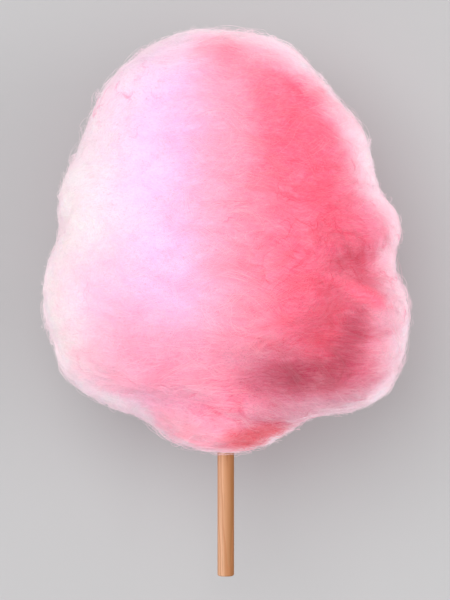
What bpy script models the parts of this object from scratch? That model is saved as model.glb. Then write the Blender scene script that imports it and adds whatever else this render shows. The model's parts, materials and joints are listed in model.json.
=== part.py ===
"""Cotton candy on a wooden stick, lying on its back.

+X is to the right of the shown side, +Y runs up the candy from the grip to the crown,
and +Z is up, out of the shown side. The origin is on the table, under the middle of the
model's box. Lengths below are in millimetres and are turned into metres as they are used.
"""

import math
from typing import NamedTuple

import bmesh
import bpy
import numpy as np

MM = 0.001

# Driving dimensions
STICK_LENGTH = 300.0
STICK_RADIUS = 5.0
STICK_EDGE = 1.0  # rounding of the stick's two ends
STICK_SIDES = 32
GRIP_LENGTH = 75.0  # the bare part of the stick, below the floss
STICK_HEIGHT = 92.0  # the stick's axis above the table
BORE_GAP = 0.3  # between the stick and the floss that is wound on it
FLOSS_FOOT = -89.5  # where the floss ends on the stick, along Y

# The floss, seen from its centre
FLOSS_CENTRE = (0.0, 36.0, STICK_HEIGHT)
GRID_CUTS = 23  # each side of the starting cube becomes a grid of 24 by 24 faces
OUTERMOST = 165.0  # no direction reaches this far from the centre
SEARCH_STEP = 1.5
HALVINGS = 14
SMOOTHING_ROUNDS = 3  # softens the seams between lobes

# Soft ridges that the winding leaves, in one slow, uneven spiral round the stick
RIDGE_PITCH = 37.0
RIDGE_HEIGHT = 1.0
RIDGE_WANDER = 1.3
RIDGE_FADE = (14.0, 60.0)  # distances from the stick's axis between which ridges grow

# A shallow hollow that runs round under the belly, inside the rolled edge
HOLLOW_CENTRE = (0.0, 45.0)
HOLLOW_RADIUS = 97.0
HOLLOW_DEPTH = 3.5
HOLLOW_WIDTH = 12.0
HOLLOW_ENDS = (-78.0, 2.0)  # degrees, counted from +X
HOLLOW_SOFT_END = 16.0  # degrees


class Lobe(NamedTuple):
    """One soft swelling of the floss, as an ellipsoid, and how widely it melts into the rest."""

    name: str
    centre: tuple
    radii: tuple
    blend: float


H = STICK_HEIGHT
LOBES = (
    Lobe("belly", (-6, 16, H), (95, 79, 96), 0),
    Lobe("crown", (-11, 92, H - 2), (66, 73, 76), 22),
    Lobe("crown_left", (-42, 105, H), (39, 36, 54), 12),
    Lobe("crown_right", (26, 114, H + 2), (34, 44, 52), 12),
    Lobe("brow_right", (34, 81, H), (54, 49, 62), 14),
    Lobe("temple_left", (-49, 61, H), (52, 41, 60), 16),
    Lobe("cheek_right", (64, 43, H), (42, 29, 56), 12),
    Lobe("hip_left", (-65, 5, H), (45, 33, 60), 16),
    Lobe("jowl_left", (-51, -22, H), (52, 45, 66), 18),
    Lobe("roll_side", (77, -6, H), (33, 37, 56), 14),
    Lobe("roll_heel", (71, -36, H), (34, 29, 52), 14),
    Lobe("roll_under", (36, -39, H), (48, 31, 52), 14),
    Lobe("tail", (0, -38, H), (60, 54, 52), 5),
    Lobe("back", (-4, 40, 66), (78, 86, 72), 16),
    Lobe("back_left", (-46, 22, 58), (40, 46, 40), 10),
    Lobe("back_right", (44, 62, 60), (38, 44, 42), 10),
    Lobe("back_foot", (14, -26, 62), (46, 38, 42), 10),
)

FLOSS_PINK = (0.96, 0.55, 0.68, 1.0)
STICK_WOOD = (0.68, 0.42, 0.24, 1.0)


def clear_scene():
    for old in list(bpy.data.objects):
        bpy.data.objects.remove(old, do_unlink=True)


def make_collection(name):
    collection = bpy.data.collections.new(name)
    bpy.context.scene.collection.children.link(collection)
    return collection


def put_in(obj, collection):
    """Moves an object from the collection that an operator chose into this one."""
    for other in list(obj.users_collection):
        other.objects.unlink(obj)
    collection.objects.link(obj)


def plain_material(name, colour, roughness):
    material = bpy.data.materials.new(name)
    material.use_nodes = True
    shader = material.node_tree.nodes["Principled BSDF"]
    shader.inputs["Base Color"].default_value = colour
    shader.inputs["Roughness"].default_value = roughness
    shader.inputs["Metallic"].default_value = 0.0
    return material


def smooth_step(low, high, x):
    t = np.clip((x - low) / (high - low), 0.0, 1.0)
    return t * t * (3.0 - 2.0 * t)


def lobe_distance(points, lobe):
    """About how far each point is outside one lobe; negative inside it."""
    offset = points - np.array(lobe.centre, float)
    radii = np.array(lobe.radii, float)
    scaled = np.linalg.norm(offset / radii, axis=-1)
    slope = np.linalg.norm(offset / radii**2, axis=-1)
    return scaled * (scaled - 1.0) / np.maximum(slope, 1e-9)


def floss_distance(points):
    """The lobes joined one after another, each with its own soft seam."""
    distance = lobe_distance(points, LOBES[0])
    for lobe in LOBES[1:]:
        other = lobe_distance(points, lobe)
        share = np.clip(0.5 + 0.5 * (distance - other) / lobe.blend, 0.0, 1.0)
        seam = lobe.blend * share * (1.0 - share)
        distance = distance * (1.0 - share) + other * share - seam
    return distance


def reach_along(directions):
    """How far the floss reaches from its centre in each direction."""
    centre = np.array(FLOSS_CENTRE)
    outside = np.full(len(directions), OUTERMOST)
    inside = np.zeros(len(directions))
    found = np.zeros(len(directions), bool)
    for reach in np.arange(OUTERMOST, 0.0, -SEARCH_STEP):
        covered = floss_distance(centre + directions * reach) < 0.0
        first = covered & ~found
        inside[first] = reach
        outside[first] = reach + SEARCH_STEP
        found |= covered
    for _ in range(HALVINGS):
        middle = (inside + outside) / 2.0
        covered = floss_distance(centre + directions * middle[:, None]) < 0.0
        inside = np.where(covered, middle, inside)
        outside = np.where(covered, outside, middle)
    return inside


def winding_ridges(points):
    """Height of the winding ridges at each point."""
    across = points[:, 0]
    up = points[:, 2] - STICK_HEIGHT
    turn = np.arctan2(up, across)
    wander = RIDGE_WANDER * np.sin(2.0 * turn + points[:, 1] / RIDGE_PITCH)
    phase = 2.0 * math.pi * points[:, 1] / RIDGE_PITCH + turn + wander
    return RIDGE_HEIGHT * np.sin(phase) * smooth_step(*RIDGE_FADE, np.hypot(across, up))


def hollow_depth(points):
    """Depth of the hollow at each point of the shown side."""
    x = points[:, 0] - HOLLOW_CENTRE[0]
    y = points[:, 1] - HOLLOW_CENTRE[1]
    off_line = (np.hypot(x, y) - HOLLOW_RADIUS) / HOLLOW_WIDTH
    angle = np.degrees(np.arctan2(y, x))
    first, last = HOLLOW_ENDS
    along = smooth_step(first - HOLLOW_SOFT_END, first + HOLLOW_SOFT_END, angle)
    along = along * (1.0 - smooth_step(last - HOLLOW_SOFT_END, last + HOLLOW_SOFT_END, angle))
    shown = smooth_step(0.0, 25.0, points[:, 2] - STICK_HEIGHT)
    return HOLLOW_DEPTH * np.exp(-(off_line**2)) * along * shown


def floss_points(directions):
    """The surface point of the floss in each direction, flattened where it lies on the table."""
    centre = np.array(FLOSS_CENTRE)
    reach = reach_along(directions)
    surface = centre + directions * reach[:, None]
    reach = reach + winding_ridges(surface) - hollow_depth(surface)
    surface = centre + directions * reach[:, None]
    surface[:, 2] = np.maximum(surface[:, 2], 0.0)
    return surface


def build_floss(collection):
    """A gridded cube blown up into a ball, with each point moved out to the floss's surface."""
    shape = bmesh.new()
    bmesh.ops.create_cube(shape, size=2.0)
    bmesh.ops.subdivide_edges(shape, edges=shape.edges[:], cuts=GRID_CUTS, use_grid_fill=True)
    grid = np.array([vertex.co for vertex in shape.verts])
    # The tangent spaces the grid's lines evenly by angle.
    directions = np.tan(grid * math.pi / 4.0)
    directions /= np.linalg.norm(directions, axis=1)[:, None]
    for vertex, place in zip(shape.verts, floss_points(directions) * MM):
        vertex.co = place
    above_table = [vertex for vertex in shape.verts if vertex.co.z > 0.0]
    for _ in range(SMOOTHING_ROUNDS):
        bmesh.ops.smooth_vert(
            shape, verts=above_table, factor=0.5, use_axis_x=True, use_axis_y=True, use_axis_z=True
        )
    bmesh.ops.recalc_face_normals(shape, faces=shape.faces[:])
    mesh = bpy.data.meshes.new("floss")
    shape.to_mesh(mesh)
    shape.free()
    mesh.shade_smooth()
    floss = bpy.data.objects.new("floss", mesh)
    collection.objects.link(floss)
    return floss


def rod_along_y(name, radius, start, end, collection):
    """A round rod on the stick's axis, from one place along Y to another."""
    bpy.ops.mesh.primitive_cylinder_add(
        vertices=STICK_SIDES,
        radius=radius * MM,
        depth=(end - start) * MM,
        location=(0.0, (start + end) / 2.0 * MM, STICK_HEIGHT * MM),
        rotation=(math.pi / 2.0, 0.0, 0.0),
    )
    rod = bpy.context.object
    rod.name = name
    rod.data.name = name
    put_in(rod, collection)
    return rod


def build_stick(collection):
    low_end = FLOSS_FOOT - GRIP_LENGTH
    stick = rod_along_y("stick", STICK_RADIUS, low_end, low_end + STICK_LENGTH, collection)
    rounding = stick.modifiers.new("round_ends", "BEVEL")
    rounding.width = STICK_EDGE * MM
    rounding.segments = 3
    rounding.limit_method = "ANGLE"
    rounding.angle_limit = math.radians(60.0)
    stick.data.shade_smooth()
    stick.data.set_sharp_from_angle(angle=math.radians(40.0))
    return stick


def cut_bore(floss, cutters):
    """Opens the blind hole in the floss that the stick fills."""
    low_end = FLOSS_FOOT - GRIP_LENGTH
    top = low_end + STICK_LENGTH + BORE_GAP
    bore = rod_along_y("bore_cutter", STICK_RADIUS + BORE_GAP, low_end, top, cutters)
    bore.hide_render = True
    bore.display_type = "WIRE"
    cut = floss.modifiers.new("bore", "BOOLEAN")
    cut.operation = "DIFFERENCE"
    cut.solver = "EXACT"
    cut.object = bore
    return bore


def centre_on_table(floss, pieces):
    """Puts every piece under one empty, placed so that the box's middle is over the origin."""
    low_end = FLOSS_FOOT - GRIP_LENGTH
    across = [vertex.co.x for vertex in floss.data.vertices]
    top = max(vertex.co.y for vertex in floss.data.vertices)
    root = bpy.data.objects.new("candy_origin", None)
    bpy.context.scene.collection.objects.link(root)
    root.location = (-(min(across) + max(across)) / 2.0, -(top + low_end * MM) / 2.0, 0.0)
    for piece in pieces:
        piece.parent = root


def main():
    clear_scene()
    candy = make_collection("cotton_candy")
    cutters = make_collection("cutters")
    floss = build_floss(candy)
    stick = build_stick(candy)
    bore = cut_bore(floss, cutters)
    centre_on_table(floss, (floss, stick, bore))
    floss.data.materials.append(plain_material("floss_sugar", FLOSS_PINK, 0.9))
    stick.data.materials.append(plain_material("stick_wood", STICK_WOOD, 0.6))


main()
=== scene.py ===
# %% [markdown]
# # Cotton candy on its stick
# Cotton candy is sugar that was melted, spun into threads thinner than a hair and wound on a
# stick. We never see one thread alone. We see a soft cloud with combed streaks, folds where one
# veil of threads lies over another, and loose ends that blur the outline.
#
# Three layers make that here. A closed body carries the big form, the folds and the combed
# relief. Thousands of fine tubes lie on it, cross each other and stand a little proud. A colour
# recipe, shared by both, runs from cream over lavender to coral and to rose in the hollow, where
# the rose is partly painted shade.

import json
import math
from typing import NamedTuple

import bmesh
import bpy
import numpy as np
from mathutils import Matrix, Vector, noise
from mathutils.bvhtree import BVHTree

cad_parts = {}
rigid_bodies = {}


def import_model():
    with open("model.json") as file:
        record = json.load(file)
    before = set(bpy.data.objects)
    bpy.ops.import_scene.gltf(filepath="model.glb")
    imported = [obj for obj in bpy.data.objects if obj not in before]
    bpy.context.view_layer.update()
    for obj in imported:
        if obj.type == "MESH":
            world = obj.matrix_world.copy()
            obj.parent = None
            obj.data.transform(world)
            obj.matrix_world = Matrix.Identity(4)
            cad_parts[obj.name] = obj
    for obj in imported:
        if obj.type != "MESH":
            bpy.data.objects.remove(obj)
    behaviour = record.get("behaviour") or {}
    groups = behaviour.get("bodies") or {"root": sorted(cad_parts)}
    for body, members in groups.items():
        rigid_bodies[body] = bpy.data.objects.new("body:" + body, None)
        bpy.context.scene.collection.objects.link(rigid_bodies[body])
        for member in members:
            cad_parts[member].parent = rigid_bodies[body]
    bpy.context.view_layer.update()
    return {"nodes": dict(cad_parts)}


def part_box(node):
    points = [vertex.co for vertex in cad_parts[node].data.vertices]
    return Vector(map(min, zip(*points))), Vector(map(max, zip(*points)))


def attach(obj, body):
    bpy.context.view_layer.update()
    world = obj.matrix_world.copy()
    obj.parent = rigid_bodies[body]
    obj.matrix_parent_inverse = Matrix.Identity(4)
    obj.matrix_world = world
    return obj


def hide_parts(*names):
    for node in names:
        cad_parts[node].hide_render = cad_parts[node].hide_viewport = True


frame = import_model()
MM = 0.001
print("nodes:", sorted(frame["nodes"]))

# %% [markdown]
# The stick is the axis that everything is wound on, so its box gives the three numbers that the
# rest of the file keeps coming back to: where the axis runs, where the stick ends and how thick
# it is. The box of the floss gives the length that is wrapped.

# %% Where the stick and the floss are
stick_low, stick_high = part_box("stick")
floss_low, floss_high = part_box("floss")
AXIS_X = (stick_low.x + stick_high.x) / 2 / MM
AXIS_Z = (stick_low.z + stick_high.z) / 2 / MM
STICK_RADIUS = (stick_high.x - stick_low.x) / 2 / MM
STICK_LOW_Y = stick_low.y / MM
STICK_HIGH_Y = stick_high.y / MM
FLOSS_FOOT_Y = floss_low.y / MM
FLOSS_TOP_Z = floss_high.z / MM
print(f"axis at x {AXIS_X:.1f}, z {AXIS_Z:.1f}; stick radius {STICK_RADIUS:.1f} mm")

# %% [markdown]
# ## Camera
# The cotton candy lies on its back, so the camera hangs straight above it and looks down, with
# the crown towards the top of the picture. A long lens keeps the outline free of perspective:
# the widest part is half way up the thickness, and the picture is framed at that height.

# %% Camera straight above
LENS = 135.0
SENSOR = 36.0
PICTURE_HEIGHT = 360.0  # what the frame takes in, in mm, at the height of the stick's axis
camera_data = bpy.data.cameras.new("camera")
camera_data.lens = LENS
camera_data.sensor_width = SENSOR
camera = bpy.data.objects.new("camera", camera_data)
bpy.context.scene.collection.objects.link(camera)
camera_height = AXIS_Z + PICTURE_HEIGHT * LENS / SENSOR
camera.location = (0.0, 0.0012, camera_height * MM)
bpy.context.scene.camera = camera
print(f"camera {camera_height:.0f} mm above the table")

# %% [markdown]
# ## Floor and light
# A pale matt floor and soft light from all round keep the sugar's own colours. The main light is
# a large panel on the upper left, so the left flank is the brightest and the lower right falls
# into gentle shade. Two weaker panels lift the shadows. The Standard view transform keeps pastel
# colours as they are, while a film-like one would grey them.

# %% Floor, lights and surroundings


def plain_material(name, colour, roughness):
    material = bpy.data.materials.new(name)
    material.use_nodes = True
    shader = material.node_tree.nodes["Principled BSDF"]
    shader.inputs["Base Color"].default_value = (*colour, 1.0)
    shader.inputs["Roughness"].default_value = roughness
    return material


def soft_panel(name, place, size, power):
    """A square light that faces the middle of the cotton candy."""
    data = bpy.data.lights.new(name, "AREA")
    data.size = size
    data.energy = power
    panel = bpy.data.objects.new(name, data)
    bpy.context.scene.collection.objects.link(panel)
    panel.location = place
    aim = Vector((0.0, 0.03, 0.09)) - Vector(place)
    panel.rotation_euler = aim.to_track_quat("-Z", "Y").to_euler()
    return panel


def lay_floor(half_width):
    shape = bmesh.new()
    bmesh.ops.create_grid(shape, x_segments=1, y_segments=1, size=half_width)
    bmesh.ops.translate(shape, verts=shape.verts, vec=(0.0, 0.0, -0.0002))
    mesh = bpy.data.meshes.new("floor")
    shape.to_mesh(mesh)
    shape.free()
    floor = bpy.data.objects.new("floor", mesh)
    bpy.context.scene.collection.objects.link(floor)
    mesh.materials.append(plain_material("floor_matt", (0.46, 0.46, 0.465), 0.9))
    return floor


floor = lay_floor(4.0)
soft_panel("key_upper_left", (-0.5, 0.55, 1.65), 1.3, 17.0)
soft_panel("fill_right", (1.3, -0.2, 1.1), 1.4, 10.0)
soft_panel("fill_low_left", (-0.8, -1.3, 0.8), 1.2, 5.0)
soft_panel("rim_right", (1.5, 0.3, 0.25), 1.0, 6.0)
soft_panel("rim_left", (-1.5, 0.2, 0.3), 1.0, 2.0)
world = bpy.data.worlds.new("studio")
world.use_nodes = True
backdrop = world.node_tree.nodes["Background"]
backdrop.inputs["Color"].default_value = (1.0, 0.99, 0.99, 1.0)
backdrop.inputs["Strength"].default_value = 0.62
bpy.context.scene.world = world
bpy.context.scene.view_settings.view_transform = "Standard"

# %% [markdown]
# ## The body of the cloud
# The model's floss has the right lobes and the right size, but its faces are 9 mm wide and the
# bore for the stick is cut in it. A copy is merged, the walls of the bore are taken out and the
# hole at the foot is closed. Two levels of subdivision then give a smooth skin with a point
# every 1.4 mm, fine enough to carry combed relief as real shape.

# %% Copy the floss, close its bore and refine it
SMOOTH_LEVELS = 2


def closed_floss():
    """A bmesh of the model's floss without the bore."""
    shape = bmesh.new()
    shape.from_mesh(frame["nodes"]["floss"].data)
    bmesh.ops.remove_doubles(shape, verts=shape.verts[:], dist=0.01 * MM)
    in_bore = []
    for face in shape.faces:
        middle = face.calc_center_median() / MM
        from_axis = math.hypot(middle.x - AXIS_X, middle.z - AXIS_Z)
        if from_axis < STICK_RADIUS + 0.5 and middle.y < STICK_HIGH_Y + 1.0:
            in_bore.append(face)
    bmesh.ops.delete(shape, geom=in_bore, context="FACES")
    rim = [edge for edge in shape.edges if edge.is_boundary]
    bmesh.ops.holes_fill(shape, edges=rim, sides=0)
    bmesh.ops.recalc_face_normals(shape, faces=shape.faces[:])
    return shape


def as_piece(shape, name):
    """Turns a bmesh into an object at the origin."""
    mesh = bpy.data.meshes.new(name)
    shape.to_mesh(mesh)
    shape.free()
    piece = bpy.data.objects.new(name, mesh)
    bpy.context.scene.collection.objects.link(piece)
    return piece


def apply_modifiers(piece):
    """Bakes a piece's modifiers into its mesh."""
    graph = bpy.context.evaluated_depsgraph_get()
    mesh = bpy.data.meshes.new_from_object(piece.evaluated_get(graph))
    piece.modifiers.clear()
    old = piece.data
    piece.data = mesh
    bpy.data.meshes.remove(old)
    mesh.name = piece.name


cloud = as_piece(closed_floss(), "floss_body")
smooth = cloud.modifiers.new("smooth", "SUBSURF")
smooth.levels = SMOOTH_LEVELS
smooth.render_levels = SMOOTH_LEVELS
apply_modifiers(cloud)
print("body:", len(cloud.data.vertices), "points,", len(cloud.data.polygons), "faces")

# %% [markdown]
# The threads run round the stick, because it is turned while the sugar flies at it. So a point
# of the cloud is best described by its turn round the stick and its place along it. Noise that
# is stretched along the turn looks combed, and noise that is equal in all directions looks like
# foam, so nearly everything below uses the stretched kind.

# %% Numbers along the winding


def read_points(mesh):
    """The mesh's points in millimetres."""
    found = np.empty(len(mesh.vertices) * 3, np.float32)
    mesh.vertices.foreach_get("co", found)
    return found.reshape(-1, 3).astype(float) / MM


def read_normals(mesh):
    found = np.empty(len(mesh.vertices) * 3, np.float32)
    mesh.vertex_normals.foreach_get("vector", found)
    return found.reshape(-1, 3).astype(float)


def write_points(mesh, points):
    mesh.vertices.foreach_set("co", (points * MM).astype(np.float32).ravel())
    mesh.update()


def smooth_step(low, high, x):
    t = np.clip((x - low) / (high - low), 0.0, 1.0)
    return t * t * (3.0 - 2.0 * t)


def slow_waves(points, size, seed):
    """A smooth random number from about -1 to 1 at each point, with swells of about this size."""
    rng = np.random.default_rng(seed)
    heading = rng.normal(size=(6, 3))
    heading /= np.linalg.norm(heading, axis=1)[:, None]
    pitch = size * rng.uniform(0.7, 1.5, 6)
    phase = rng.uniform(0.0, 2.0 * math.pi, 6)
    return np.sin(points @ (heading.T * 2.0 * math.pi / pitch) + phase).sum(1) / 3.0


POLE_CALM = 45.0  # nearer to the axis than this, in mm, the streaks close up more slowly


def combed_noise(points, turns, pitch, seed, creased=False):
    """Noise that is stretched along the winding. turns sets how often it changes round the
    stick, and pitch how far apart the streaks are, in mm. Creased noise has sharp valleys."""
    across = points[:, 0] - AXIS_X
    up = points[:, 2] - AXIS_Z
    radius = np.maximum(np.hypot(across, up), 1e-6)
    slant = 16.0 * slow_waves(points, 150.0, seed) + 5.0 * slow_waves(points, 45.0, seed + 1)
    along = (points[:, 1] + slant + 0.22 * radius) / pitch
    calm = smooth_step(0.0, POLE_CALM, radius)
    round_x = calm * turns * across / radius
    round_z = calm * turns * up / radius
    places = np.stack([round_x + seed * 7.3, along, round_z], axis=1)
    if creased:
        return np.array([2.0 * abs(noise.noise(p)) - 0.45 for p in places])
    return np.array([noise.noise(p) for p in places])


body_points = read_points(cloud.data)
body_normals = read_normals(cloud.data)
print("slowest swell:", round(float(slow_waves(body_points, 150.0, 1).std()), 2))

# %% [markdown]
# ### Folds
# Some folds are too clear to be left to chance: the hollow that runs round under the belly, the
# crease above the bright ridge on the right, the edge where the rolled rim lies over the tail,
# and a few soft dents. Each is a short bowed line on the shown side. Across the line the skin
# dips, and beside it a lip stands up, the way a pushed-up veil does.

# %% The named folds of the shown side


class Fold(NamedTuple):
    """A dip along a bowed line from start to end. All sizes are in mm."""

    name: str
    start: tuple
    end: tuple
    bow: float  # how far the line's middle bulges to its left
    depth: float
    width: float
    lip: float  # height of the lip on the line's left side


FOLDS = (
    Fold("hollow_side", (86, 22), (66, -30), -5.0, 3.0, 11.0, 1.0),
    Fold("hollow_under", (70, -26), (10, -44), -10.0, 4.5, 11.0, 1.5),
    Fold("ridge_crease", (62, 27), (98, 11), 3.0, 3.2, 6.5, 0.0),
    Fold("ridge", (56, 13), (98, -5), 2.0, -2.4, 5.0, 0.0),
    Fold("over_tail", (46, -70), (-14, -59), 9.0, 3.2, 4.5, -2.4),
    Fold("left_jowl", (-82, -38), (-36, -60), -5.0, 1.8, 8.0, 0.8),
    Fold("left_waist", (-98, 44), (-66, 34), 3.0, 1.6, 8.0, 0.6),
    Fold("crown_dip", (30, 140), (47, 92), 6.0, 2.0, 11.0, 0.8),
    Fold("brow_dip", (60, 104), (84, 66), 5.0, 1.8, 8.0, 0.8),
    Fold("left_brow", (-78, 104), (-30, 122), 6.0, 1.2, 9.0, 0.5),
)


def fold_relief(points, fold):
    """The height that one fold adds at each point."""
    start = np.array(fold.start, float)
    run = np.array(fold.end, float) - start
    length = np.linalg.norm(run)
    run /= length
    side = np.array([-run[1], run[0]])
    offset = points[:, :2] - start
    along = offset @ run / length
    bend = fold.bow * 4.0 * np.clip(along, 0, 1) * (1.0 - np.clip(along, 0, 1))
    beyond = np.maximum(np.abs(along - 0.5) - 0.5, 0.0) * length
    across = offset @ side - bend
    fade = np.exp(-((beyond / (1.4 * fold.width)) ** 2))
    ends = 0.35 + 0.65 * smooth_step(0.0, 0.3, 0.5 - np.abs(along - 0.5))
    dip = fold.depth * np.exp(-((across / fold.width) ** 2))
    lip = fold.lip * np.exp(-(((across - 1.7 * fold.width) / fold.width) ** 2))
    shown = smooth_step(0.0, 22.0, points[:, 2] - AXIS_Z)
    return (lip - dip) * fade * ends * shown


def all_folds(points):
    return sum(fold_relief(points, fold) for fold in FOLDS)


def crease_line(points, fold, width):
    """1 on the bottom of a fold's dip, fading to 0 at this distance from it."""
    thin = fold._replace(depth=1.0, width=width, lip=0.0)
    return -fold_relief(points, thin)


folds = all_folds(body_points)
print(f"folds reach from {folds.min():.1f} to {folds.max():.1f} mm")

# %% [markdown]
# ### Combed relief
# Over the folds lie three sizes of texture: billows a finger wide with creases between them,
# bundles of threads a few millimetres apart, and fine combing. The left flank is the smoothest,
# and the texture grows towards the right and the bottom. All of it fades out on the flat spot
# that the cotton candy rests on, which stays flat.

# %% Shape the body
REST_FADE = (0.5, 14.0)  # heights between which the relief grows in, above the table


def texture_strength(points):
    """How strong the relief is: calm on the upper left, lively on the lower right."""
    lively = 0.5 + 0.0042 * (points[:, 0] - 0.6 * (points[:, 1] - 30.0))
    patchy = 0.18 * slow_waves(points, 70.0, 11)
    hidden = smooth_step(AXIS_Z + 5.0, AXIS_Z - 30.0, points[:, 2])
    return np.clip(lively + patchy, 0.35, 1.15) * (1.0 - hidden) + 1.5 * hidden


def shape_body(mesh):
    """Moves the points out along their normals, and returns how high each one now stands."""
    strength = texture_strength(body_points)
    billows = 1.3 * combed_noise(body_points, 2.6, 19.0, 21, creased=True)
    bundles = 0.4 * combed_noise(body_points, 4.5, 6.5, 22)
    combing = 0.2 * combed_noise(body_points, 8.0, 2.5, 23)
    swells = 0.9 * slow_waves(body_points, 48.0, 24) - 0.8
    fine = strength * (billows + bundles + combing)
    height = folds + swells + fine
    height *= smooth_step(*REST_FADE, body_points[:, 2])
    moved = body_points + body_normals * height[:, None]
    moved[:, 2] = np.maximum(moved[:, 2], 0.0)
    write_points(mesh, moved)
    return fine, height


fine_relief, body_height = shape_body(cloud.data)
cloud.data.shade_smooth()
print(f"relief from {body_height.min():.1f} to {body_height.max():.1f} mm")

# %% [markdown]
# Two numbers are kept at each point of the body for the colours. `rim` is 1 on the steep flanks
# and at the outline, where the colour is whitened: partly because the floss is thin there and
# looks pale, partly as a painted glow of light through the edge. `crease` is high in the small
# valleys, where a deeper pink is painted shade, as if light had passed through more sugar, and
# low on the crests, which get a painted highlight.

# %% Numbers for the colours


CLOUD_MIDDLE = (0.0, 36.0)
SPOKES = 240


def add_number(mesh, name, values):
    layer = mesh.attributes.new(name, "FLOAT", "POINT")
    layer.data.foreach_set("value", np.asarray(values, np.float32))


def from_outline(points):
    """How far inside the outline each point lies, seen from above."""
    across = points[:, 0] - CLOUD_MIDDLE[0]
    along = points[:, 1] - CLOUD_MIDDLE[1]
    turn = np.arctan2(along, across)
    away = np.hypot(across, along)
    spoke = np.round((turn + math.pi) / (2.0 * math.pi) * SPOKES).astype(int) % SPOKES
    reach = np.zeros(SPOKES)
    np.maximum.at(reach, spoke, away)
    places = np.arange(-1, SPOKES + 1) * 2.0 * math.pi / SPOKES - math.pi
    reach = np.interp(turn, places, np.concatenate([reach[-1:], reach, reach[:1]]))
    return reach - away, turn


def rim_glow_number(points):
    """Share of the whitened rim, partly thin pale floss and partly painted glow: 1 at the
    outline, fading to 0 inside it, slowly on the right and quickly on the tail.
    """
    inside, turn = from_outline(points)
    width = 10.0 + 12.5 * np.cos(turn - math.radians(20.0)).clip(0.0)
    width = width * (0.4 + 0.6 * smooth_step(-82.0, -60.0, points[:, 1]))
    from_axis = np.hypot(points[:, 0] - AXIS_X, points[:, 2] - AXIS_Z)
    ragged = 4.0 * combed_noise(points, 3.0, 8.0, 41) * smooth_step(8.0, 50.0, from_axis)
    edge = 1.0 - smooth_step(0.0, 1.0, (inside + ragged) / width)
    edge *= np.clip(0.94 + 0.15 * slow_waves(points, 45.0, 44), 0.9, 1.0)
    sway = 26.0 * combed_noise(points, 4.0, 16.0, 42) + 16.0 * slow_waves(points, 70.0, 43)
    sway = sway.clip(-30.0, 26.0)
    return edge * smooth_step(AXIS_Z - 62.0, AXIS_Z - 2.0, points[:, 2] + sway)


body_rim_glow = rim_glow_number(body_points)
# The crease number marks painted shade: in the valleys of the fine relief and along the fold where
# the rolled rim lies over the tail.
tail_fold_shade = crease_line(body_points, FOLDS[4], 1.3)
body_crease_shade = np.clip(0.5 - 0.45 * fine_relief + 0.6 * tail_fold_shade, 0.0, 1.0)
add_number(cloud.data, "rim", body_rim_glow)
add_number(cloud.data, "crease", body_crease_shade)
print(f"rim on {100 * float((body_rim_glow > 0.5).mean()):.0f}% of the points")

# %% [markdown]
# ## Threads
# A thread is a three-sided tube that is drawn to a point at both ends. It is extruded ring by
# ring, and an Array modifier repeats it thousands of times, so that each kind of thread is one
# joined mesh. What makes every copy different is its path. It starts at a random spot, follows
# the winding with its own slant, bends like a crumpled hair and keeps to the body's skin.

# %% One thread, repeated


def thread_template(rings):
    """A straight thread with one ring at each whole number of Z, pointed at both ends."""
    shape = bmesh.new()
    bmesh.ops.create_circle(shape, segments=3, radius=1.0)
    ring = shape.edges[:]
    first = shape.verts[:]
    for _ in range(rings - 1):
        grown = bmesh.ops.extrude_edge_only(shape, edges=ring)["geom"]
        ring = [item for item in grown if isinstance(item, bmesh.types.BMEdge)]
        ring = [edge for edge in ring if all(vert in grown for vert in edge.verts)]
        new = [item for item in grown if isinstance(item, bmesh.types.BMVert)]
        bmesh.ops.translate(shape, verts=new, vec=(0.0, 0.0, 1.0))
    for tip, z in ((first, 0.0), (new, rings - 1.0)):
        bmesh.ops.pointmerge(shape, verts=tip, merge_co=(0.0, 0.0, z))
    bmesh.ops.recalc_face_normals(shape, faces=shape.faces[:])
    return shape


def repeated_threads(name, rings, count):
    """An object that holds this many copies of the thread, all in the same place."""
    piece = as_piece(thread_template(rings), name)
    copies = piece.modifiers.new("copies", "ARRAY")
    copies.count = count
    copies.use_relative_offset = False
    copies.use_constant_offset = True
    copies.constant_offset_displace = (0.0, 0.0, 0.0)
    copies.merge_threshold = 0.00001
    template = np.array([vertex.co for vertex in piece.data.vertices])
    apply_modifiers(piece)
    return piece, template


check = thread_template(8)
print("one thread:", len(check.verts), "points,", len(check.faces), "faces")
check.free()

# %% [markdown]
# A path keeps to the skin by asking for the nearest point of the body after each step. A
# bounding volume tree answers that quickly. It also gives the face that was hit, and through it
# the colour numbers that the thread takes over from the skin below.

# %% Walking over the skin
body_tree = BVHTree.FromPolygons(
    [tuple(p) for p in read_points(cloud.data)],
    [tuple(face.vertices) for face in cloud.data.polygons],
)
face_corner = np.array([face.vertices[0] for face in cloud.data.polygons])
skin_normals = read_normals(cloud.data)


def onto_skin(points):
    """The nearest points of the skin, their normals and one mesh point near each."""
    places = np.empty_like(points)
    corners = np.empty(len(points), int)
    for row, point in enumerate(points):
        place, _, face, _ = body_tree.find_nearest(point)
        places[row] = place
        corners[row] = face_corner[face]
    return places, body_normals[corners], corners


def round_the_stick(points):
    """The direction of the winding at each point."""
    across = points[:, 0] - AXIS_X
    up = points[:, 2] - AXIS_Z
    turn = np.stack([up, np.zeros(len(points)), -across], axis=1)
    return turn / np.maximum(np.linalg.norm(turn, axis=1), 1e-6)[:, None]


def unit(vectors):
    return vectors / np.maximum(np.linalg.norm(vectors, axis=1), 1e-9)[:, None]


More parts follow.
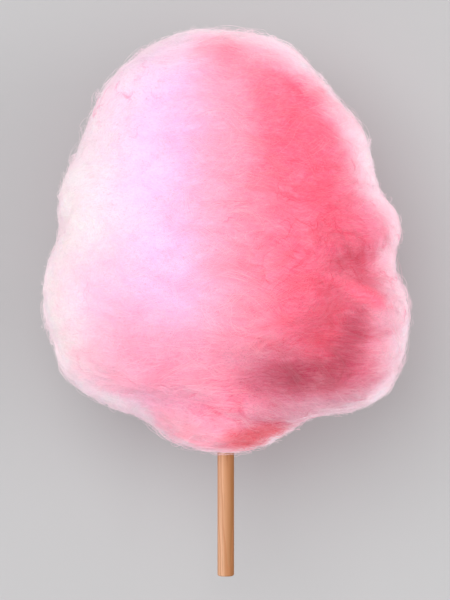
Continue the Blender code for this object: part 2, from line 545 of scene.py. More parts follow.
def scatter_roots(rng, count, favour):
    """Random spots on the skin, as evenly spread as favour allows.

    The faces are put in an order that runs to and fro in bands round the stick, so that even
    steps through the order are even steps over the skin."""
    mesh = cloud.data
    areas = np.empty(len(mesh.polygons), np.float32)
    mesh.polygons.foreach_get("area", areas)
    middles = np.empty(len(mesh.polygons) * 3, np.float32)
    mesh.polygons.foreach_get("center", middles)
    middles = middles.reshape(-1, 3).astype(float) / MM
    chance = areas * favour(middles)
    band = np.floor(middles[:, 1] / math.sqrt(areas.sum() / MM**2 / count))
    turn = np.arctan2(middles[:, 0] - AXIS_X, middles[:, 2] - AXIS_Z)
    order = np.lexsort((np.where(band % 2 == 0, turn, -turn), band))
    reached = np.cumsum(chance[order]) / chance.sum()
    steps = (np.arange(count) + rng.uniform(0.0, 1.0, count)) / count
    chosen = order[np.searchsorted(reached, steps).clip(0, len(order) - 1)]
    return rng.permutation(middles[chosen] + rng.uniform(-0.6, 0.6, (count, 3)))


probe = onto_skin(scatter_roots(np.random.default_rng(0), 5, lambda p: np.ones(len(p))))
print("a spot on the skin:", probe[0][0].round(1))

# %% [markdown]
# Every kind of thread has its own recipe: how long and thick it is, how far it slants and
# curls, how high it lies and whether its ends come loose. The growth is the same for all of
# them, so one function takes the recipe and returns the finished piece.

# %% Growing a kind of thread


class Threads(NamedTuple):
    """The recipe of one kind of thread. Lengths are in mm and angles in degrees."""

    name: str
    count: int
    rings: int
    length: tuple  # shortest and longest
    radius: tuple
    slant: float  # spread of the angle to the winding
    curl: float  # sideways wander of the path
    lie: float  # how high it lies on the skin
    arch: float  # how high its middle stands, on average
    loose: float  # how high its far end stands, on average
    strands: int  # threads that run side by side in one lock
    spread: float  # half the width of a lock
    seed: int


TABLE_GAP = 0.25  # no thread comes nearer to the table
EXTRA_FLUFF = 1.2  # threads on top and underneath stand this share higher than on the outline


def one_per_lock(rng, kind, low, high, spread=0.0):
    """A random number for each thread, alike within a lock but for this relative spread."""
    lock = np.arange(kind.count) // kind.strands
    shared = rng.uniform(low, high, lock[-1] + 1)[lock]
    return shared * rng.uniform(1.0 - spread, 1.0 + spread, kind.count)


def thread_paths(kind, rng, favour):
    """Places along each thread, shaped (threads, rings, 3), with the skin's normals there."""
    lock = np.arange(kind.count) // kind.strands
    point = scatter_roots(rng, lock[-1] + 1, favour)[lock]
    point = point + rng.normal(0.0, kind.spread, point.shape)
    length = one_per_lock(rng, kind, *kind.length, spread=0.2)
    step = length / (kind.rings - 1)
    slant = np.radians(kind.slant) * rng.normal(0.0, 1.0, lock[-1] + 1)[lock]
    slant = slant + rng.normal(0.0, 0.09, kind.count) + 0.55 * slow_waves(point, 85.0, kind.seed)
    way = rng.choice((-1.0, 1.0), lock[-1] + 1)[lock]
    phase = one_per_lock(rng, kind, 0.0, 2.0 * math.pi, spread=0.1)
    pitch = one_per_lock(rng, kind, 0.3, 1.6, spread=0.1)
    curl = one_per_lock(rng, kind, 0.2 * kind.curl, 1.5 * kind.curl, spread=0.3)
    paths, normals, corners = [], [], None
    for ring in range(kind.rings):
        point, normal, near = onto_skin(point)
        corners = near if ring == kind.rings // 2 else corners
        paths.append(point)
        normals.append(normal)
        turn = round_the_stick(point) * way[:, None]
        turn = unit(turn - normal * (turn * normal).sum(1)[:, None])
        side = np.cross(normal, turn)
        swing = slant + curl * np.sin(phase + ring * pitch)
        heading = turn * np.cos(swing)[:, None] + side * np.sin(swing)[:, None]
        point = point + heading * step[:, None]
    return np.stack(paths, 1), np.stack(normals, 1), corners


def lift_threads(kind, rng, paths, normals):
    """Raises the paths off the skin: lying, arched or with a loose end."""
    share = np.linspace(0.0, 1.0, kind.rings)[None, :]
    lie = rng.uniform(0.1, 1.0, (kind.count, 1)) * kind.lie
    flat_on = 1.0 + EXTRA_FLUFF * np.abs(normals[:, :1, 2])
    arch = kind.arch * one_per_lock(rng, kind, 0.0, 1.0, spread=0.35)[:, None] ** 2 * flat_on
    loose = rng.exponential(kind.loose, (kind.count, 1)).clip(0.0, 3.0 * kind.loose) * flat_on
    height = lie + arch * np.sin(math.pi * share) + loose * share**1.6
    ends = np.minimum(share, 1.0 - share) * 2.0
    height -= (0.5 + kind.lie) * (1.0 - smooth_step(0.0, 0.35, ends)) * (loose < 0.1)
    lifted = paths + normals * height[:, :, None]
    lifted[:, :, 2] = np.maximum(lifted[:, :, 2], TABLE_GAP)
    return lifted


def wrap_tubes(kind, rng, template, paths, normals):
    """Bends the copies of the template along the paths and gives them their thickness."""
    along = unit(np.gradient(paths, axis=1).reshape(-1, 3)).reshape(paths.shape)
    side = unit(np.cross(normals, along).reshape(-1, 3)).reshape(paths.shape)
    up = np.cross(along, side)
    ring = template[:, 2].round().astype(int)
    corner = np.arctan2(template[:, 1], template[:, 0])
    thick = rng.uniform(0.0, 1.0, (kind.count, 1)) ** 2
    thick = kind.radius[0] + (kind.radius[1] - kind.radius[0]) * thick
    share = ring / (kind.rings - 1.0)
    taper = np.sqrt(np.clip(4.0 * share * (1.0 - share), 0.0, 1.0))[None, :]
    out = side[:, ring] * np.cos(corner)[None, :, None]
    out = out + up[:, ring] * np.sin(corner)[None, :, None]
    return paths[:, ring] + out * (thick * taper)[:, :, None]


def winding_map(mesh, points, per_thread):
    """Lays the mesh's map out by turn and place along the stick, one spot per thread's place."""
    turn = np.arctan2(points[:, 0] - AXIS_X, points[:, 2] - AXIS_Z).reshape(-1, per_thread)
    root = turn[:, :1]
    turn = root + (turn - root + math.pi) % (2.0 * math.pi) - math.pi
    u = np.clip(turn.ravel() / (2.0 * math.pi) + 0.5, 0.0, 1.0)
    low, high = points[:, 1].min(), points[:, 1].max()
    v = (points[:, 1] - low) / (high - low)
    corner = np.empty(len(mesh.loops), np.int32)
    mesh.loops.foreach_get("vertex_index", corner)
    layer = mesh.uv_layers.new(name="OFBake", do_init=False)
    layer.uv.foreach_set("vector", np.stack([u, v], 1)[corner].astype(np.float32).ravel())


def everywhere(points):
    """Spreads threads all round, with twice as many on the shown side as underneath."""
    return 0.75 + 0.5 * smooth_step(40.0, 110.0, points[:, 2])


def grow_threads(kind, favour=everywhere):
    rng = np.random.default_rng(kind.seed)
    piece, template = repeated_threads(kind.name, kind.rings, kind.count)
    paths, normals, near = thread_paths(kind, rng, favour)
    lifted = lift_threads(kind, rng, paths, normals)
    points = wrap_tubes(kind, rng, template, lifted, normals).reshape(-1, 3)
    points[:, 2] = np.maximum(points[:, 2], TABLE_GAP / 2.0)
    mesh = piece.data
    write_points(mesh, points)
    mesh.shade_smooth()
    per_thread = len(template)
    add_number(mesh, "rim", np.repeat(body_rim_glow[near], per_thread))
    add_number(mesh, "crease", np.repeat(body_crease_shade[near], per_thread))
    tint = one_per_lock(rng, kind, 0.0, 1.0, spread=0.3)
    add_number(mesh, "tint", np.repeat(tint, per_thread))
    winding_map(mesh, points, per_thread)
    faces = sum(len(face.vertices) - 2 for face in mesh.polygons)
    print(f"{kind.name}: {kind.count} threads, {faces} triangles")
    return piece


# %% [markdown]
# ### The kinds of thread
# Wound threads make the combed look and lie closest. Cross threads are shorter and slant more,
# which ties the veils together. Arched threads stand up in small loops, and loose ends stick
# out, so that the outline blurs. Wisps are long and run over several folds at once.

# %% All the threads
KINDS = (
    Threads("wound_locks", 4700, 9, (16, 36), (0.06, 0.14), 14, 0.30, 0.50, 0.9, 0.0, 10, 1.5, 31),
    Threads("veil_locks", 4700, 9, (12, 26), (0.05, 0.12), 26, 0.45, 0.60, 1.9, 0.0, 12, 1.2, 32),
    Threads("cross_threads", 8000, 6, (6, 14), (0.05, 0.11), 45, 0.60, 0.50, 1.5, 0.0, 1, 0.0, 33),
    Threads("loose_ends", 8000, 6, (4, 10), (0.04, 0.09), 60, 0.60, 0.20, 0.0, 1.0, 1, 0.0, 34),
    Threads("wisps", 3500, 11, (26, 52), (0.05, 0.11), 20, 0.50, 0.60, 1.9, 0.0, 3, 1.2, 35),
)
VEINS = Threads("pink_veins", 220, 15, (10, 26), (0.08, 0.18), 60, 1.0, 0.7, 0.5, 0.0, 2, 0.7, 36)
CRUMPLED = (
    # centre and half size of the patches where threads have crumpled into veins, in mm
    ((80, 22), (20, 20)),
    ((18, -60), (32, 16)),
    ((40, 36), (26, 40)),
    ((-66, 122), (22, 14)),
)


def in_crumpled_patches(points):
    """1 in the middle of a crumpled patch of the shown side, falling to almost nothing."""
    near = np.full(len(points), 0.01)
    for (x, y), (half_x, half_y) in CRUMPLED:
        away = np.hypot((points[:, 0] - x) / half_x, (points[:, 1] - y) / half_y)
        near = np.maximum(near, np.exp(-(away**2)))
    return near * smooth_step(AXIS_Z, AXIS_Z + 30.0, points[:, 2])


thread_pieces = [grow_threads(kind) for kind in KINDS]
vein_piece = grow_threads(VEINS, in_crumpled_patches)

# %% [markdown]
# ## The stick
# The dowel is planed wood, not a perfect cylinder. A ring of 48 points is extruded along the
# stick, its ends are rounded with a bevel, and the whole skin gets shallow grooves that run with
# the grain, deep enough to catch the light and too shallow to feel.

# %% Model the dowel
DOWEL_SIDES = 48
DOWEL_RINGS = 120
END_ROUNDING = 1.2


def grain_depth(points):
    """Depth of the grain's grooves, in mm."""
    turn = np.arctan2(points[:, 2] - AXIS_Z, points[:, 0] - AXIS_X)
    places = np.stack([3.2 * np.cos(turn), points[:, 1] / 38.0, 3.2 * np.sin(turn)], 1)
    coarse = np.array([noise.noise(p) for p in places])
    finer = np.array([noise.noise(p * 3.1) for p in places])
    return 0.07 * np.abs(coarse) + 0.045 * np.abs(finer)


def build_dowel():
    shape = bmesh.new()
    radius = STICK_RADIUS * MM
    bmesh.ops.create_circle(shape, segments=DOWEL_SIDES, radius=radius, cap_ends=True)
    length = (STICK_HIGH_Y - STICK_LOW_Y) * MM
    bottom = list(shape.faces)[0]
    top = bmesh.ops.extrude_face_region(shape, geom=[bottom])["geom"]
    new = [item for item in top if isinstance(item, bmesh.types.BMVert)]
    bmesh.ops.translate(shape, verts=new, vec=(0.0, 0.0, length))
    bmesh.ops.recalc_face_normals(shape, faces=shape.faces[:])
    ends = [e for e in shape.edges if abs(e.verts[0].co.z - e.verts[1].co.z) < length / 2]
    bmesh.ops.bevel(
        shape,
        geom=ends,
        offset=END_ROUNDING * MM,
        affect="EDGES",
        segments=4,
        profile=0.5,
        material=-1,
    )
    for ring in range(1, DOWEL_RINGS):
        cut = END_ROUNDING * MM + ring / DOWEL_RINGS * (length - 2 * END_ROUNDING * MM)
        bmesh.ops.bisect_plane(
            shape,
            geom=shape.verts[:] + shape.edges[:] + shape.faces[:],
            plane_co=(0.0, 0.0, cut),
            plane_no=(0.0, 0.0, 1.0),
        )
    turn_down = (Vector((0.0, 0.0, 1.0))).rotation_difference(Vector((0.0, 1.0, 0.0)))
    bmesh.ops.rotate(shape, verts=shape.verts, cent=(0, 0, 0), matrix=turn_down.to_matrix())
    place = Vector((AXIS_X, STICK_LOW_Y, AXIS_Z)) * MM
    bmesh.ops.translate(shape, verts=shape.verts, vec=place)
    return as_piece(shape, "dowel")


dowel = build_dowel()
dowel_points = read_points(dowel.data)
dowel_normals = read_normals(dowel.data)
side_share = 1.0 - np.abs(dowel_normals[:, 1:2])
write_points(
    dowel.data, dowel_points - dowel_normals * side_share * grain_depth(dowel_points)[:, None]
)
dowel.data.shade_smooth()
dowel.data.set_sharp_from_angle(angle=math.radians(50.0))
print("dowel:", len(dowel.data.polygons), "faces")

# %% [markdown]
# ## Colours of the floss
# The colour changes across the cloud, so it is painted in layers, like an airbrush drawing. A
# ramp from left to right comes first. Soft round zones go over it: a pink cloud on the lower
# left, coral and rose on the right, the deep rose of the hollow. Some zones paint light and shade
# as well as colour: the deep rose of the hollow and of the crease above the right ridge is partly
# painted shade, the bright ridge is a painted highlight, and the outer edge of the roll is partly
# painted light. The edges of the zones are pulled about by combed noise, so that colours meet the
# way dyed threads do.
#
# All of it reads Object coordinates, so the body and its threads agree on the colour of a spot.

# %% Small helpers for nodes


def srgb(red, green, blue):
    """A colour as seen on a screen, from 0 to 255, turned into the linear numbers nodes use."""
    seen = np.array((red, green, blue)) / 255.0
    linear = np.where(seen <= 0.04045, seen / 12.92, ((seen + 0.055) / 1.055) ** 2.4)
    return (*(float(x) for x in linear), 1.0)


def seen(red, green, blue):
    """A colour as seen on a screen, from 0 to 255, as shares from 0 to 1."""
    return (red / 255.0, green / 255.0, blue / 255.0, 1.0)


def add_node(tree, kind, links=(), **settings):
    """Adds a node, sets its properties, and links or sets its inputs by their number."""
    made = tree.nodes.new(kind)
    for name, value in settings.items():
        setattr(made, name, value)
    for number, value in dict(links).items():
        if isinstance(value, bpy.types.NodeSocket):
            tree.links.new(value, made.inputs[number])
        else:
            made.inputs[number].default_value = value
    return made


def math_node(tree, operation, first, second=0.0):
    made = add_node(tree, "ShaderNodeMath", {0: first, 1: second}, operation=operation)
    return made.outputs[0]


def vector_node(tree, operation, first, second=(0.0, 0.0, 0.0)):
    made = add_node(tree, "ShaderNodeVectorMath", {0: first, 1: second}, operation=operation)
    return made.outputs[1 if operation == "LENGTH" else 0]


def map_range(tree, value, low, high, to_low=0.0, to_high=1.0):
    made = add_node(
        tree,
        "ShaderNodeMapRange",
        {0: value, 1: low, 2: high, 3: to_low, 4: to_high},
        interpolation_type="SMOOTHSTEP",
    )
    return made.outputs[0]


def mix_colour(tree, share, first, second):
    made = add_node(
        tree, "ShaderNodeMix", {0: share, 6: first, 7: second}, data_type="RGBA"
    )
    return made.outputs[2]


def number_layer(tree, name):
    """Reads one of the numbers kept on the mesh."""
    return add_node(tree, "ShaderNodeAttribute", attribute_name=name).outputs["Fac"]


print("cream in linear numbers:", [round(x, 2) for x in srgb(254, 238, 236)])

# %% [markdown]
# The combed coordinates are the shader's version of the winding. Position across the stick is
# turned into a point on a circle, so the pattern closes on itself all the way round, and the
# place along the stick is squeezed, so that streaks come out long and thin.

# %% Combed coordinates


def combed_coordinates(tree, place, turns, pitch):
    """Coordinates, in a Noise Texture's units, that stretch it along the winding."""
    from_axis = vector_node(tree, "SUBTRACT", place, (AXIS_X * MM, 0.0, AXIS_Z * MM))
    flat = vector_node(tree, "MULTIPLY", from_axis, (1.0, 0.0, 1.0))
    circle = vector_node(tree, "NORMALIZE", flat)
    radius = vector_node(tree, "LENGTH", flat)
    calm = map_range(tree, radius, 0.0, POLE_CALM * MM, 0.0, turns)
    circle = vector_node(tree, "MULTIPLY", circle, calm)
    swell = add_node(tree, "ShaderNodeTexNoise", {0: place, 2: 14.0, 3: 1.0})
    slant = math_node(tree, "MULTIPLY", swell.outputs[0], 0.05)
    parts = add_node(tree, "ShaderNodeSeparateXYZ", {0: place})
    along = math_node(tree, "ADD", parts.outputs[1], slant)
    along = math_node(tree, "ADD", along, math_node(tree, "MULTIPLY", radius, 0.22))
    along = math_node(tree, "DIVIDE", along, pitch * MM)
    strip = add_node(tree, "ShaderNodeCombineXYZ", {1: along}).outputs[0]
    return vector_node(tree, "ADD", circle, strip)


def combed_texture(tree, place, turns, pitch, detail):
    where = combed_coordinates(tree, place, turns, pitch)
    return add_node(tree, "ShaderNodeTexNoise", {0: where, 2: 1.0, 3: detail, 4: 0.6})


# %% The zones


class Zone(NamedTuple):
    """A soft patch of colour on the floss. Sizes are in mm, the turn is in degrees."""

    name: str
    centre: tuple
    radii: tuple
    turn: float
    colour: tuple
    strength: float
    soft: float  # the share of the radius over which the edge fades


RAMP = (
    # from left to right: place across the cloud in mm, colour
    (-104.0, seen(255, 251, 246)),
    (-84.0, seen(255, 241, 246)),
    (-66.0, seen(255, 229, 243)),
    (-44.0, seen(254, 217, 247)),
    (-24.0, seen(255, 197, 230)),
    (-8.0, seen(255, 176, 203)),
    (6.0, seen(255, 158, 184)),
    (20.0, seen(254, 138, 165)),
    (38.0, seen(248, 114, 146)),
    (60.0, seen(240, 102, 134)),
    (88.0, seen(236, 100, 132)),
)
ZONES = (
    Zone("crown_pale", (-40, 150), (60, 22), 20, seen(254, 230, 242), 0.6, 0.9),
    Zone("crown_pink", (8, 146), (26, 14), 0, seen(254, 144, 170), 0.7, 0.9),
    Zone("crown_blush", (34, 148), (26, 18), -34, seen(255, 200, 218), 0.85, 0.9),
    Zone("brow_coral", (32, 104), (16, 42), 10, seen(238, 98, 130), 0.5, 0.9),
    Zone("brow_pale", (80, 74), (20, 46), 16, seen(240, 154, 178), 0.6, 1.0),
    Zone("cheek_left", (-52, 4), (48, 27), -6, seen(254, 188, 222), 0.65, 1.0),
    Zone("chin_cloud", (-39, -35), (48, 30), -10, seen(253, 155, 182), 0.87, 1.0),
    Zone("chin_middle", (6, -50), (44, 24), -8, seen(246, 148, 176), 0.8, 1.0),
    Zone("right_dusk", (66, -2), (32, 40), 4, seen(224, 92, 120), 0.75, 1.0),
    # painted shade of the crease above the bright ridge, over a deeper rose
    Zone("right_rose_shade", (71, 22), (15, 23), 8, seen(218, 88, 116), 0.55, 1.0),
    Zone("tongue", (57, -18), (15, 26), 4, seen(226, 82, 110), 0.6, 1.0),
    Zone("roll_dusk", (86, -26), (21, 44), -10, seen(222, 130, 152), 0.9, 1.0),
    # partly the roll's paler floss, partly painted light on its outer edge
    Zone("roll_pale", (99, -14), (13, 40), -6, seen(232, 178, 194), 0.8, 1.0),
    Zone("lip_grey", (27, -62), (22, 9), 12, seen(220, 148, 168), 0.6, 1.0),
    Zone("roll_grey", (60, -62), (44, 13), 15, seen(206, 148, 166), 0.8, 1.0),
    Zone("lip_shade", (30, -31), (35, 11), 0, seen(212, 118, 141), 0.6, 1.0),
    # the three hollow zones: a deeper rose of the floss and painted shade of the hollow under the
    # belly
    Zone("hollow_side", (73, -20), (9, 20), -13, seen(190, 68, 96), 0.75, 1.0),
    Zone("hollow_corner", (66, -35), (14, 10), 38, seen(188, 68, 94), 0.65, 1.0),
    Zone("hollow_under", (43, -43), (32, 13), 6, seen(176, 60, 86), 0.85, 1.0),
    # a painted highlight along the raised ridge
    Zone("ridge_highlight", (78, 5), (18, 5), -24, seen(254, 110, 140), 0.85, 1.0),
    Zone("tail_coral", (20, -81), (25, 9), 6, seen(228, 92, 106), 0.9, 0.9),
    Zone("tail_pale", (-28, -76), (26, 13), -20, seen(254, 174, 190), 0.8, 0.9),
)
SCREEN_GAMMA = 2.2  # turns a colour as seen on a screen into the amount of light
RIM_GLOW_COLOUR = seen(254, 233, 241)
UNDER_PALE = seen(253, 218, 233)
UNDER_BLUSH = seen(253, 168, 200)


def paint_ramp(tree, place):
    parts = add_node(tree, "ShaderNodeSeparateXYZ", {0: place})
    low, high = RAMP[0][0], RAMP[-1][0]
    share = add_node(
        tree, "ShaderNodeMapRange", {0: parts.outputs[0], 1: low * MM, 2: high * MM}
    )
    ramp = add_node(tree, "ShaderNodeValToRGB", {0: share.outputs[0]})
    stops = ramp.color_ramp.elements
    stops[0].color = RAMP[0][1]
    stops[1].color = RAMP[-1][1]
    for x, colour in RAMP[1:-1]:
        stops.new((x - low) / (high - low)).color = colour
    return ramp.outputs[0]


def paint_zone(tree, place, colour, zone, shown):
    """Lays one zone over the colour so far."""
    x, y = zone.centre
    across, along = zone.radii
    local = add_node(
        tree,
        "ShaderNodeMapping",
        {
            0: place,
            1: (x * MM, y * MM, AXIS_Z * MM),
            2: (0.0, 0.0, math.radians(zone.turn)),
            3: (across * MM, along * MM, 150.0 * MM),
        },
        vector_type="TEXTURE",
    )
    away = vector_node(tree, "LENGTH", local.outputs[0])
    share = map_range(tree, away, 1.0 - zone.soft * 0.75, 1.0 + zone.soft * 0.5, 1.0, 0.0)
    share = math_node(tree, "MULTIPLY", share, zone.strength)
    share = math_node(tree, "MULTIPLY", share, shown)
    return mix_colour(tree, share, colour, zone.colour)


def paint_underside(tree, place, colour, under):
    """Below the widest part the floss is pale, with soft blushes of pink."""
    clouds = add_node(tree, "ShaderNodeTexNoise", {0: place, 2: 17.0, 3: 2.0}).outputs[0]
    blush = map_range(tree, clouds, 0.4, 0.66)
    pale = mix_colour(tree, blush, UNDER_PALE, UNDER_BLUSH)
    share = math_node(tree, "MULTIPLY", under, 0.8)
    return mix_colour(tree, share, colour, pale)


def floss_colour_group():
    """A node group that gives the floss's colour at any spot, for the body and the threads."""
    group = bpy.data.node_groups.new("floss_colour", "ShaderNodeTree")
    group.interface.new_socket("Colour", in_out="OUTPUT", socket_type="NodeSocketColor")
    place = add_node(group, "ShaderNodeTexCoord").outputs["Object"]
    streaks = combed_texture(group, place, 3.0, 9.0, 3.0)
    pull = vector_node(group, "SUBTRACT", streaks.outputs[1], (0.5, 0.5, 0.5))
    pull = vector_node(group, "MULTIPLY", pull, (0.018, 0.014, 0.0))
    from_axis = vector_node(group, "SUBTRACT", place, (AXIS_X * MM, 0.0, AXIS_Z * MM))
    from_axis = vector_node(group, "MULTIPLY", from_axis, (1.0, 0.0, 1.0))
    from_axis = vector_node(group, "LENGTH", from_axis)
    calm = map_range(group, from_axis, 12.0 * MM, 60.0 * MM, 0.1, 1.0)
    pull = vector_node(group, "MULTIPLY", pull, add_node(
        group, "ShaderNodeCombineXYZ", {0: calm, 1: calm, 2: calm}).outputs[0])
    pulled = vector_node(group, "ADD", place, pull)
    colour = paint_ramp(group, pulled)
    parts = add_node(group, "ShaderNodeSeparateXYZ", {0: place})
    shown = map_range(group, parts.outputs[2], (AXIS_Z - 25.0) * MM, (AXIS_Z + 12.0) * MM)
    for zone in ZONES:
        colour = paint_zone(group, pulled, colour, zone, shown)
    under = map_range(group, parts.outputs[2], (AXIS_Z + 15.0) * MM, (AXIS_Z - 50.0) * MM)
    colour = paint_underside(group, place, colour, under)
    # Whitening of the rim: partly the thinner, paler floss, partly a painted glow of light through
    # the edge.
    rim = math_node(group, "MULTIPLY", number_layer(group, "rim"), 0.97)
    colour = mix_colour(group, rim, colour, RIM_GLOW_COLOUR)
    light = add_node(group, "ShaderNodeGamma", {0: colour, 1: SCREEN_GAMMA}).outputs[0]
    output = add_node(group, "NodeGroupOutput")
    group.links.new(light, output.inputs[0])
    return group


floss_colour = floss_colour_group()
print("colour zones:", ", ".join(zone.name for zone in ZONES))

# %% [markdown]
# ## Material of the body
# Light enters spun sugar, wanders about and comes out a few millimetres away, redder than it
# went in. Subsurface scattering does that. Sheen stands for the fuzz that brightens the rim. The
# creases get a deeper colour as painted shade, the crests a paler one as a painted highlight, and
# the whole body is darkened a little as painted shade under the threads. A fine combed bump fills
# in what is smaller than the mesh can hold.

# %% Body material
FILAMENTS = (
    # turn of the drawn threads in degrees, stretch along them and across them
    (14.0, 45.0, 900.0),
    (-22.0, 60.0, 1150.0),
    (52.0, 90.0, 1300.0),
    (-63.0, 110.0, 1200.0),
)


def drawn_filaments(tree, place):
    """Fine bright lines in several directions, for the threads too deep down to be modelled."""
    swell = add_node(tree, "ShaderNodeTexNoise", {0: place, 2: 32.0, 3: 2.0}).outputs[1]
    bend = vector_node(tree, "MULTIPLY", swell, (0.02, 0.02, 0.02))
    place = vector_node(tree, "ADD", place, bend)
    total = None
    for turn, stretch, fineness in FILAMENTS:
        turned = add_node(
            tree, "ShaderNodeMapping", {0: place, 2: (0.3, 0.25, math.radians(turn))}
        ).outputs[0]
        long_way = vector_node(tree, "MULTIPLY", turned, (stretch, fineness, fineness))
        noise_there = add_node(tree, "ShaderNodeTexNoise", {0: long_way, 2: 1.0, 3: 2.0})
        off = math_node(tree, "ABSOLUTE", math_node(tree, "SUBTRACT", noise_there.outputs[0], 0.5))
        line = map_range(tree, off, 0.0, 0.06, 1.0, 0.0)
        total = line if total is None else math_node(tree, "MAXIMUM", total, line)
    return total


def floss_body_material():
    material = bpy.data.materials.new("spun_sugar_body")
    material.use_nodes = True
    tree = material.node_tree
    shader = tree.nodes["Principled BSDF"]
    colour = add_node(tree, "ShaderNodeGroup", node_tree=floss_colour).outputs[0]
    crease = number_layer(tree, "crease")
    # Deeper rose in the creases: painted shade, fading out near the rim.
    deeper = add_node(
        tree, "ShaderNodeMix", {0: 1.0, 6: colour, 7: srgb(252, 196, 212)}, data_type="RGBA"
    )
    deeper.blend_type = "MULTIPLY"
    away_from_rim = map_range(tree, number_layer(tree, "rim"), 0.0, 0.7, 0.75, 0.2)
    crease_shade_share = map_range(tree, crease, 0.45, 1.0)
    crease_shade_share = math_node(tree, "MULTIPLY", crease_shade_share, away_from_rim)
    colour = mix_colour(tree, crease_shade_share, colour, deeper.outputs[2])
    # Paler on the crests: a painted highlight.
    crest_highlight_share = map_range(tree, crease, 0.5, 0.0, 0.0, 0.09)
    colour = mix_colour(tree, crest_highlight_share, colour, srgb(255, 244, 248))
    # The whole body is darkened a little, so that the threads over it read lighter: painted shade
    # of the deeper layers under the threads.
    under = add_node(
        tree, "ShaderNodeMix", {0: 1.0, 6: colour, 7: (0.80, 0.76, 0.78, 1.0)}, data_type="RGBA"
    )
    under.blend_type = "MULTIPLY"
    colour = under.outputs[2]
    place = add_node(tree, "ShaderNodeTexCoord").outputs["Object"]
    strands = combed_texture(tree, place, 16.0, 1.1, 4.0)
    light = map_range(tree, strands.outputs[0], 0.3, 0.75, 0.0, 0.1)
    colour = mix_colour(tree, light, colour, srgb(255, 246, 250))
    filaments = drawn_filaments(tree, place)
    brighter = add_node(
        tree, "ShaderNodeMix", {0: 1.0, 6: colour, 7: (1.3, 1.28, 1.28, 1.0)}, data_type="RGBA"
    )
    brighter.blend_type = "MULTIPLY"
    colour = mix_colour(tree, filaments, colour, brighter.outputs[2])
    tree.links.new(colour, shader.inputs["Base Color"])
    relief = math_node(tree, "ADD", strands.outputs[0], filaments)
    bump = add_node(tree, "ShaderNodeBump", {0: 0.4, 1: 0.0004, "Height": relief})
    tree.links.new(bump.outputs[0], shader.inputs["Normal"])
    shader.inputs["Roughness"].default_value = 0.75
    shader.inputs["Specular IOR Level"].default_value = 0.15
    shader.inputs["Subsurface Weight"].default_value = 0.7
    shader.inputs["Subsurface Radius"].default_value = (1.0, 0.42, 0.55)
    shader.inputs["Subsurface Scale"].default_value = 0.009
    shader.inputs["Sheen Weight"].default_value = 0.2
    shader.inputs["Sheen Roughness"].default_value = 0.4
    shader.inputs["Sheen Tint"].default_value = srgb(255, 236, 244)
    return material


cloud.data.materials.clear()
cloud.data.materials.append(floss_body_material())

# %% [markdown]
# ## Material of the threads
# A single thread is clear sugar, so it looks paler than the cloud below it. Each one mixes its
# spot's colour with near white by its own random share, which is what makes single threads
# readable against their neighbours.

# %% Thread material


def thread_material():
    material = bpy.data.materials.new("spun_sugar_threads")
    material.use_nodes = True
    tree = material.node_tree
    shader = tree.nodes["Principled BSDF"]
    colour = add_node(tree, "ShaderNodeGroup", node_tree=floss_colour).outputs[0]
    tint = number_layer(tree, "tint")
    parts = add_node(tree, "ShaderNodeSeparateColor", {0: colour})
    paleness = map_range(tree, parts.outputs[1], 0.03, 0.4, 0.25, 1.0)
    share = map_range(tree, tint, 0.0, 1.0, 0.02, 0.34)
    share = math_node(tree, "MULTIPLY", share, paleness)
    colour = mix_colour(tree, share, colour, srgb(255, 240, 247))
    tree.links.new(colour, shader.inputs["Base Color"])
    shader.inputs["Roughness"].default_value = 0.5
    shader.inputs["Specular IOR Level"].default_value = 0.2
    shader.inputs["Sheen Weight"].default_value = 0.12
    shader.inputs["Sheen Roughness"].default_value = 0.5
    return material


def vein_material():
    """Crumpled threads have drawn together, so they hold more colour than the loose ones."""
    material = bpy.data.materials.new("crumpled_sugar")
    material.use_nodes = True
    tree = material.node_tree
    shader = tree.nodes["Principled BSDF"]
    colour = add_node(tree, "ShaderNodeGroup", node_tree=floss_colour).outputs[0]
    deeper = add_node(
        tree, "ShaderNodeMix", {0: 1.0, 6: colour, 7: srgb(248, 200, 216)}, data_type="RGBA"
    )
    deeper.blend_type = "MULTIPLY"
    tree.links.new(deeper.outputs[2], shader.inputs["Base Color"])
    shader.inputs["Roughness"].default_value = 0.45
    shader.inputs["Specular IOR Level"].default_value = 0.3
    return material


sugar_threads = thread_material()
for piece in thread_pieces:
    piece.data.materials.clear()
    piece.data.materials.append(sugar_threads)
    piece.visible_shadow = False
vein_piece.data.materials.clear()
vein_piece.data.materials.append(vein_material())
vein_piece.visible_shadow = False

# %% [markdown]
# ## Wood
# The stick is pale birch. Long dark pores and soft year lines run with the grain, so both
# textures are stretched along the stick.

# %% Wood material


RING_PITCH = 2.6 * MM  # between two year rings
HEART = (0.021, 0.034)  # how far the tree's heart lies from the stick's axis, across and down


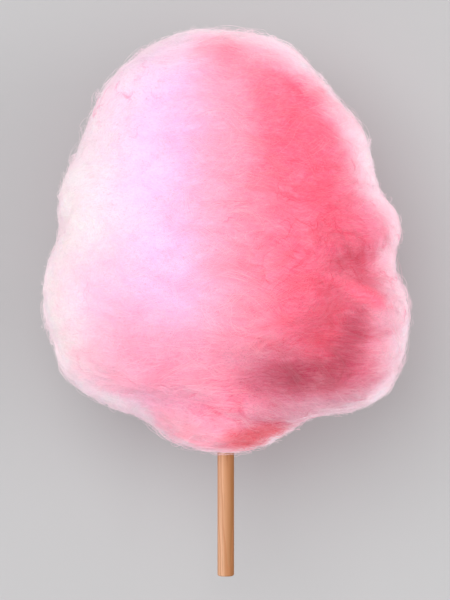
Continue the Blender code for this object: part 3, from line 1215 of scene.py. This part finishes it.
def wood_material():
    material = bpy.data.materials.new("birch")
    material.use_nodes = True
    tree = material.node_tree
    shader = tree.nodes["Principled BSDF"]
    place = add_node(tree, "ShaderNodeTexCoord").outputs["Object"]
    sway = vector_node(tree, "MULTIPLY", place, (30.0, 11.0, 30.0))
    sway = add_node(tree, "ShaderNodeTexNoise", {0: sway, 2: 1.0, 3: 2.0}).outputs[1]
    sway = vector_node(tree, "MULTIPLY", sway, (0.011, 0.0, 0.011))
    from_heart = add_node(
        tree,
        "ShaderNodeMapping",
        {
            0: vector_node(tree, "ADD", place, sway),
            1: (HEART[0] - AXIS_X * MM, 0.0, HEART[1] - AXIS_Z * MM),
            2: (math.radians(2.0), 0.0, math.radians(-3.0)),
        },
    ).outputs[0]
    from_heart = vector_node(tree, "MULTIPLY", from_heart, (1.0, 0.0, 1.0))
    rings = math_node(tree, "DIVIDE", vector_node(tree, "LENGTH", from_heart), RING_PITCH)
    rings = math_node(tree, "FRACT", rings)
    late = map_range(tree, rings, 0.45, 0.95)
    early = map_range(tree, rings, 0.95, 1.0, 1.0, 0.0)
    late = math_node(tree, "MULTIPLY", late, early)
    broad = vector_node(tree, "MULTIPLY", place, (200.0, 7.0, 200.0))
    bands = add_node(tree, "ShaderNodeTexNoise", {0: broad, 2: 1.0, 3: 2.0}).outputs[0]
    sapwood = mix_colour(
        tree, map_range(tree, bands, 0.35, 0.65), srgb(206, 152, 114), srgb(216, 166, 132)
    )
    # The right flank is painted darker and browner: painted shade of the side turned away from the
    # main light.
    parts = add_node(tree, "ShaderNodeSeparateXYZ", {0: place})
    low = (AXIS_X - 0.45 * STICK_RADIUS) * MM
    high = (AXIS_X + 0.7 * STICK_RADIUS) * MM
    shaded_flank = add_node(tree, "ShaderNodeMapRange", {0: parts.outputs[0], 1: low, 2: high})
    colour = mix_colour(tree, shaded_flank.outputs[0], sapwood, srgb(146, 94, 46))
    ring_share = math_node(tree, "MULTIPLY", late, 0.55)
    colour = mix_colour(tree, ring_share, colour, srgb(170, 110, 68))
    long_way = vector_node(tree, "MULTIPLY", place, (1300.0, 30.0, 1300.0))
    grain = add_node(tree, "ShaderNodeTexNoise", {0: long_way, 2: 1.0, 3: 4.0, 4: 0.6}).outputs[0]
    pores = map_range(tree, grain, 0.56, 0.7, 0.0, 0.5)
    colour = mix_colour(tree, pores, colour, srgb(146, 92, 56))
    tree.links.new(colour, shader.inputs["Base Color"])
    relief = math_node(tree, "SUBTRACT", math_node(tree, "MULTIPLY", late, 0.4), pores)
    bump = add_node(tree, "ShaderNodeBump", {0: 0.5, 1: 0.0004, "Height": relief})
    tree.links.new(bump.outputs[0], shader.inputs["Normal"])
    tree.links.new(map_range(tree, grain, 0.3, 0.7, 0.5, 0.75), shader.inputs["Roughness"])
    shader.inputs["Specular IOR Level"].default_value = 0.3
    return material


dowel.data.materials.clear()
dowel.data.materials.append(wood_material())

# %% [markdown]
# ## Join the pieces to the model
# The body and all its threads stand for the model's floss, and the dowel for its stick. They all
# ride on the one body of the model.

# %% Attach and finish
for piece in [cloud, *thread_pieces, vein_piece]:
    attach(piece, "root")
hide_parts("floss")
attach(dowel, "root")
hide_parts("stick")
